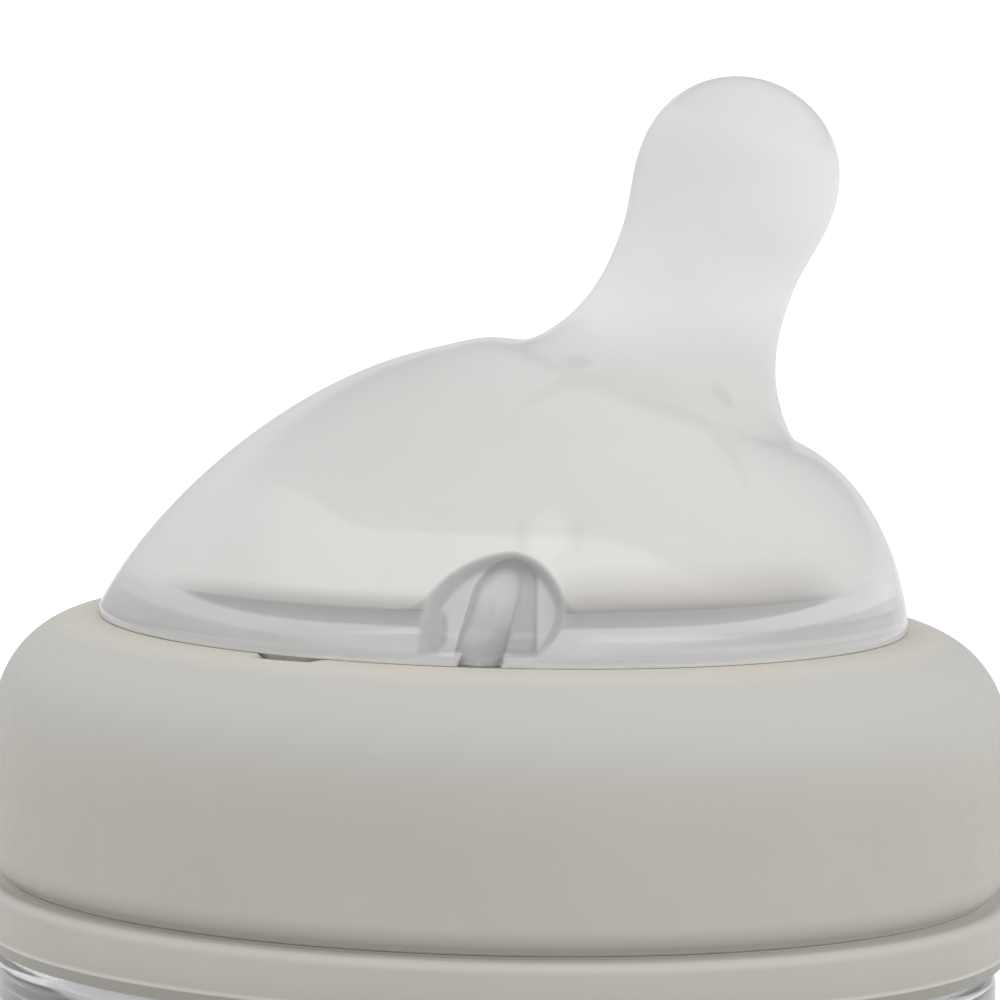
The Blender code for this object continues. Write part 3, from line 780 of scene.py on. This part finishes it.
def make_teat(material):
    """One shell: the outside from flange to tip, then the inside back down. Both carry the layers."""
    angles = front_dense_angles()
    back, lean = outlines()
    outer = np.concatenate((
        level_rings(flange_profile(), angles),
        with_tip(back, lean, NIPPLE_LENGTH, 0.0, angles),
    ))
    layers = skirt_layers(outer)
    carve_vent(outer)

    inner_back = inwards(back, WALL, 1.0)
    inner_lean = inwards(lean, WALL, -1.0)
    keep = inner_back[:, 1] > INNER_DOME_FROM
    bore = [(GROOVE_RADIUS - WALL, z) for z in np.linspace(FLANGE_BOTTOM, BORE_TOP, 20)]
    inner = np.concatenate((
        level_rings(bore, angles),
        with_tip(inner_back[keep], inner_lean[keep], NIPPLE_LENGTH - TIP_WALL, WALL, angles),
    ))
    raise_hood(inner)
    raise_ribs(inner)
    inner = inner[::-1]

    verts = np.concatenate((outer.reshape(-1, 3), inner.reshape(-1, 3)))
    verts[:, 2] += LIP
    faces = shell_faces(len(outer), len(inner), len(angles))
    teat = mesh_object("teat_silicone", verts, faces, material)
    milky = smooth_step(inner[..., 2], HAZE_FROM, HAZE_TO).ravel()
    clear = np.zeros(len(milky))
    inside = (milky, clear, clear, clear)
    for name, values, behind in zip(("haze", "warm", "shade", "pool"), layers, inside):
        layer = teat.data.attributes.new(name, "FLOAT", "POINT")
        layer.data.foreach_set("value", np.concatenate((values.ravel(), behind)))
    return teat


# ---------------------------------------------------------------- collar, ring and bottle

def make_collar(material):
    """The cap, from the lip's round nose over the shoulder to the undercut foot and up the bore."""
    nose_r = OPENING_RADIUS + LIP_NOSE
    turn = math.acos(1.0 - UNDERCUT_DEPTH / UNDERCUT_RADIUS)
    undercut_z = COLLAR_BOTTOM + UNDERCUT_RADIUS * math.sin(turn)
    undercut = (COLLAR_RADIUS - UNDERCUT_RADIUS, undercut_z, UNDERCUT_RADIUS, UNDERCUT_RADIUS)
    profile = arc(nose_r, -LIP_NOSE, LIP_NOSE, LIP_NOSE, 270, 90, 20)
    profile += arc(nose_r, -COLLAR_SHOULDER, COLLAR_RADIUS - nose_r, COLLAR_SHOULDER, 88, 0, 48)
    profile += arc(*undercut, 0, -math.degrees(turn), 24)
    profile += [(COLLAR_BORE + 0.4 * MM, COLLAR_BOTTOM), (COLLAR_BORE, COLLAR_BOTTOM + 0.4 * MM)]
    profile += arc(COLLAR_BORE - 1.0 * MM, COLLAR_SEAT - 1.1 * MM, 1.0 * MM, 1.1 * MM, 0, 90, 8)
    profile += [(nose_r + 1.2 * MM, COLLAR_SEAT), (nose_r + 0.6 * MM, -2 * LIP_NOSE)]
    profile = [(r, z + LIP) for r, z in profile]
    collar = turned("collar_shell", profile, material, sides=720)
    cut_notch(collar.data)
    return collar


def cut_notch(mesh):
    """A short notch in the lip's top inner edge: steep at one end, running out at the other."""
    places = np.empty(3 * len(mesh.vertices))
    mesh.vertices.foreach_get("co", places)
    places = places.reshape(-1, 3)
    turn = np.arctan2(places[:, 1], places[:, 0])
    reach = np.hypot(places[:, 0], places[:, 1])
    along = (turn - NOTCH_FROM) / (NOTCH_TO - NOTCH_FROM)
    depth = smooth_step(along, 0.0, 0.06) * fade(along, 0.35, 1.0)
    lip = fade(reach, *NOTCH_REACH) * smooth_step(places[:, 2], LIP - 1.7 * MM, LIP - 0.9 * MM)
    places[:, 2] -= NOTCH_DEPTH * depth * lip
    mesh.vertices.foreach_set("co", places.ravel())
    mesh.update()


def make_thread(name, wall, outward, start, turns, material):
    """A helical ridge, half sunk in the wall, whose ends taper off."""
    steps = round(120 * turns)
    along = np.linspace(0.0, 1.0, steps + 1)
    taper = np.minimum(1.0, 8.0 * np.minimum(along, 1.0 - along) + 0.12)
    section = arc(0.0, 0.0, 1.0, 1.0, -90, 90, 10)
    verts = []
    for turn, rise, size in zip(TURN * turns * along, start + PITCH * turns * along, taper):
        ridge = [(THREAD_OUT * size * max(out, 0.0), up) for out, up in section]
        for out, up in [(-THREAD_SUNK, -1.0)] + ridge + [(-THREAD_SUNK, 1.0)]:
            r = wall + outward * out
            verts.append((r * math.cos(turn), r * math.sin(turn), rise + THREAD_HALF * up))
    count = len(section) + 2
    faces = loop_faces(steps + 1, count)
    faces.append(tuple(range(count)))
    faces.append(tuple(reversed(range(steps * count, (steps + 1) * count))))
    return mesh_object(name, verts, faces, material)


def make_ring(material):
    """The ring, from its inner lip and the riser under the collar to the bead and the narrower foot."""
    low, high = RING_LOW.z, RING_TOP
    foot_top, foot_radius = low + RING_FOOT, RING_RADIUS - RING_FOOT_STEP
    lip = NECK_RADIUS + RING_LIP
    riser, riser_top = COLLAR_RADIUS - RISER_INSET, high + RISER_RISE
    profile = [(RING_BORE, high - RING_THICKNESS), (lip, high - RING_THICKNESS), (lip, riser_top)]
    profile += [(riser, riser_top), (riser, high)]
    profile += arc(RING_RADIUS - RING_CORNER, high - RING_CORNER, RING_CORNER, RING_CORNER, 90, 0, 12)
    profile += arc(RING_RADIUS - RING_BEAD, foot_top + RING_BEAD, RING_BEAD, RING_BEAD, 0, -90, 6)
    profile += [(foot_radius, foot_top), (foot_radius, low), (RING_BORE, low)]
    return turned("neck_ring_band", profile, material, sides=360)


def make_bottle(material):
    """The bottle, up its outside from the middle of the base and down its inside."""
    inner = BOTTLE_RADIUS - BOTTLE_WALL
    shoulder = RING_LOW.z - 0.3 * MM
    corner = (BOTTLE_RADIUS - SHOULDER_ROUND, shoulder - SHOULDER_ROUND)
    rim = (NECK_RADIUS - NECK_BORE) / 2
    profile = [(0.0, 0.0)]
    profile += [(r, 0.0) for r in np.linspace(6.0 * MM, BOTTLE_RADIUS - BASE_ROUND, 5)[:-1]]
    profile += arc(BOTTLE_RADIUS - BASE_ROUND, BASE_ROUND, BASE_ROUND, BASE_ROUND, -90, 0, 20)
    profile += arc(*corner, SHOULDER_ROUND, SHOULDER_ROUND, 0, 90, 10)
    profile += [(SNAP_BEAD_RADIUS, shoulder), (SNAP_BEAD_RADIUS, RING_HIGH.z - 1.2 * MM)]
    profile += [(NECK_RADIUS, RING_HIGH.z - 0.1 * MM)]
    profile += arc(NECK_RADIUS - rim, NECK_RIM - rim, rim, rim, 0, 180, 16)
    profile += arc(NECK_BORE + 3.0 * MM, RING_LOW.z + 0.6 * MM, 3.0 * MM, 3.0 * MM, 180, 218, 8)
    profile += arc(inner - 5.0 * MM, RING_LOW.z - 8.6 * MM, 5.0 * MM, 5.0 * MM, 38, 0, 8)
    profile += arc(inner - BASE_ROUND, BOTTLE_WALL + BASE_ROUND, BASE_ROUND, BASE_ROUND, 0, -90, 16)
    profile += [(0.0, BOTTLE_WALL)]
    return turned("bottle_wall", profile, material, sides=256, closed=False)


def fill_height(volume):
    """Height of the surface of so many millilitres in the bottle."""
    inner = BOTTLE_RADIUS - BOTTLE_WALL
    return BOTTLE_WALL + (volume + BASE_LOSS) * MILLILITRE / (math.pi * inner ** 2)


def wrapped(x, z, lift):
    """A point of the printed scale, laid on the front of the bottle."""
    angle = SCALE_ANGLE + x / BOTTLE_RADIUS
    r = BOTTLE_RADIUS + lift
    return (r * math.cos(angle), r * math.sin(angle), z)


def tick(verts, faces, x, z, length, thick):
    """One printed line, as a thin closed strip that follows the bottle."""
    pieces = max(2, round(length / (1.0 * MM)))
    first = len(verts)
    for step in range(pieces + 1):
        place = x + length * step / pieces
        for lift, up in ((INK_LOW, -1), (INK_HIGH, -1), (INK_HIGH, 1), (INK_LOW, 1)):
            verts.append(wrapped(place, z + up * thick / 2, lift))
    faces += [tuple(first + i for i in face) for face in loop_faces(pieces + 1, 4)]
    last = first + 4 * pieces
    faces.append((first, first + 1, first + 2, first + 3))
    faces.append((last + 3, last + 2, last + 1, last))


def number(verts, faces, text, x, z, size):
    """Printed figures in Blender's own plain typeface, laid on the bottle."""
    curve = bpy.data.curves.new("figures", "FONT")
    curve.body = text
    curve.size = size
    curve.extrude = (INK_HIGH - INK_LOW) / 2
    curve.resolution_u = 6
    figures = bpy.data.objects.new("figures", curve)
    mesh = figures.to_mesh()
    first = len(verts)
    for vert in mesh.vertices:
        lift = INK_LOW if vert.co.z < 0.0 else INK_HIGH
        verts.append(wrapped(x + vert.co.x, z + vert.co.y - 0.36 * size, lift))
    faces += [tuple(first + i for i in face.vertices) for face in mesh.polygons]
    figures.to_mesh_clear()
    bpy.data.objects.remove(figures)
    bpy.data.curves.remove(curve)


def make_scale(material):
    """The printed scale as one mesh: a tick every 10 ml, and figures every 60 ml."""
    verts, faces = [], []
    for volume in range(20, 261, 10):
        z = fill_height(volume)
        if volume % 60 == 0:
            tick(verts, faces, 0.0, z, 9.0 * MM, 0.55 * MM)
            number(verts, faces, str(volume), 10.5 * MM, z, 5.0 * MM)
        elif volume % 30 == 0:
            tick(verts, faces, 0.0, z, 6.5 * MM, 0.45 * MM)
        else:
            tick(verts, faces, 0.0, z, 4.0 * MM, 0.35 * MM)
    number(verts, faces, "ml", 11.5 * MM, fill_height(20), 4.4 * MM)
    scale = mesh_object("volume_scale", verts, faces, material)
    bm = bmesh.new()
    bm.from_mesh(scale.data)
    bmesh.ops.remove_doubles(bm, verts=bm.verts, dist=0.001 * MM)
    bmesh.ops.recalc_face_normals(bm, faces=bm.faces)
    bm.to_mesh(scale.data)
    bm.free()
    scale.data.shade_flat()
    return scale


# ---------------------------------------------------------------- stage

def make_floor(material):
    """The table that the bottle stands on."""
    size = 6.0
    corners = [(-size, -size, 0.0), (size, -size, 0.0), (size, size, 0.0), (-size, size, 0.0)]
    floor = mesh_object("floor", corners, [(0, 1, 2, 3)], material)


def make_camera():
    """A long lens in front of the vent, as in the photo."""
    data = bpy.data.cameras.new("camera")
    data.lens = LENS
    data.sensor_width = SENSOR
    data.clip_start = 0.01
    camera = bpy.data.objects.new("camera", data)
    bpy.context.collection.objects.link(camera)
    place = Vector((0.0, -CAMERA_DISTANCE, LIP + CAMERA_RISE))
    yaw = -CAMERA_SIDE / CAMERA_DISTANCE
    turn = Matrix.Rotation(yaw, 4, "Z") @ Matrix.Rotation(math.pi / 2 - CAMERA_PITCH, 4, "X")
    camera.matrix_world = Matrix.Translation(place) @ turn @ Matrix.Rotation(CAMERA_ROLL, 4, "Z")
    bpy.context.scene.camera = camera


def make_light():
    """A studio sky: bright above the camera's side, dimmer overhead and behind, dark low in front.

    Reflections see it dimmed by MIRRORED_SKY; light that comes through clear parts sees it whole.
    """
    world = bpy.data.worlds.new("studio")
    made = Nodes(world)
    way = made.add("ShaderNodeTexCoord").outputs["Generated"]
    path = made.add("ShaderNodeLightPath").outputs
    mirrored = made.math("SUBTRACT", path["Is Glossy Ray"], path["Is Transmission Ray"], clamp=True)

    def lobe(direction, low, high, to_low, to_high):
        dot = made.add("ShaderNodeVectorMath", operation="DOT_PRODUCT")
        made.link(way, dot.inputs[0])
        dot.inputs[1].default_value = Vector(direction).normalized()
        return made.span(dot.outputs["Value"], low, high, to_low, to_high, smooth=True)

    parts = [lobe(*values) for values in SKY_LOBES]
    parts.append(made.span(mirrored, 0.0, 1.0, 1.0, MIRRORED_SKY))
    level = parts[0]
    for part in parts[1:]:
        level = made.math("MULTIPLY", level, part)
    back = made.tree.nodes["Background"]
    back.inputs["Color"].default_value = (1.0, 1.0, 1.0, 1.0)
    made.link(level, back.inputs["Strength"])
    bpy.context.scene.world = world
    bpy.context.scene.view_settings.view_transform = "Standard"


make_camera()
make_light()
make_floor(floor_material())

bottle = make_bottle(bottle_material())
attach(bottle, "bottle")
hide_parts("bottle_body")

scale = make_scale(ink_material())
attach(scale, "bottle")

neck_thread = make_thread("neck_thread", NECK_RADIUS, 1.0, NECK_THREAD_START, 1.5, bottle.data.materials[0])
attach(neck_thread, "bottle")

ring = make_ring(ring_material())
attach(ring, "bottle")
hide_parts("neck_ring")

collar = make_collar(collar_material())
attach(collar, "collar")
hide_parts("collar")

collar_thread = make_thread(
    "collar_thread", COLLAR_BORE, -1.0, NECK_THREAD_START + PITCH / 2, 1.0, collar.data.materials[0])
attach(collar_thread, "collar")

teat = make_teat(silicone_material())
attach(teat, "teat")
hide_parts("teat")
